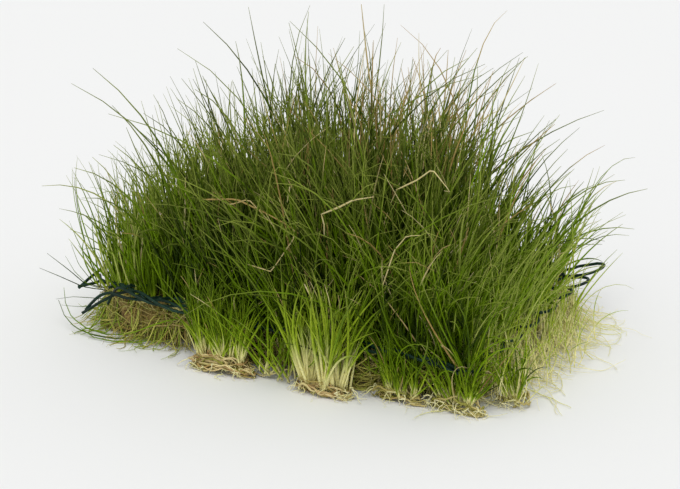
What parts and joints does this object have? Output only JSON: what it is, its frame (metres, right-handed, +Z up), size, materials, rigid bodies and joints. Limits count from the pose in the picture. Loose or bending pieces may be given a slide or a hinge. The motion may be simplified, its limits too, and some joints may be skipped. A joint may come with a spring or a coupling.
{
  "type": "dwarf hairgrass",
  "caption": "Mound of dwarf hairgrass for an aquarium, grown through coated wire netting over a felted mat of its own roots, which rests on its flat underside.",
  "frame": {"origin": "on the surface that the root mat lies on, under the middle of the netting", "axes": "+X along the netting's long side, +Y along its short side and away from the two pale clumps, +Z up the grass"},
  "size_m": [0.1783, 0.1478, 0.1074],
  "materials": {
    "netting": "satin",
    "roots": "matte",
    "grass": "satin"
  },
  "bodies": {
    "root": {"wire_netting": "netting", "root_mat": "roots", "tuft_01": "grass", "tuft_02": "grass", "tuft_03": "grass", "tuft_04": "grass", "tuft_05": "grass", "tuft_06": "grass", "tuft_07": "grass", "tuft_08": "grass", "tuft_09": "grass", "tuft_10": "grass", "tuft_11": "grass", "tuft_12": "grass", "tuft_13": "grass", "tuft_14": "grass", "tuft_15": "grass", "tuft_16": "grass", "tuft_17": "grass", "tuft_18": "grass", "tuft_19": "grass", "tuft_20": "grass", "tuft_21": "grass", "tuft_22": "grass", "tuft_23": "grass", "tuft_24": "grass", "tuft_25": "grass", "tuft_26": "grass", "tuft_27": "grass", "tuft_28": "grass", "tuft_29": "grass", "tuft_30": "grass", "tuft_31": "grass", "tuft_32": "grass", "edge_tuft_01": "grass", "edge_tuft_02": "grass", "edge_tuft_03": "grass", "edge_tuft_04": "grass", "edge_tuft_05": "grass"}
  },
  "joints": []
}
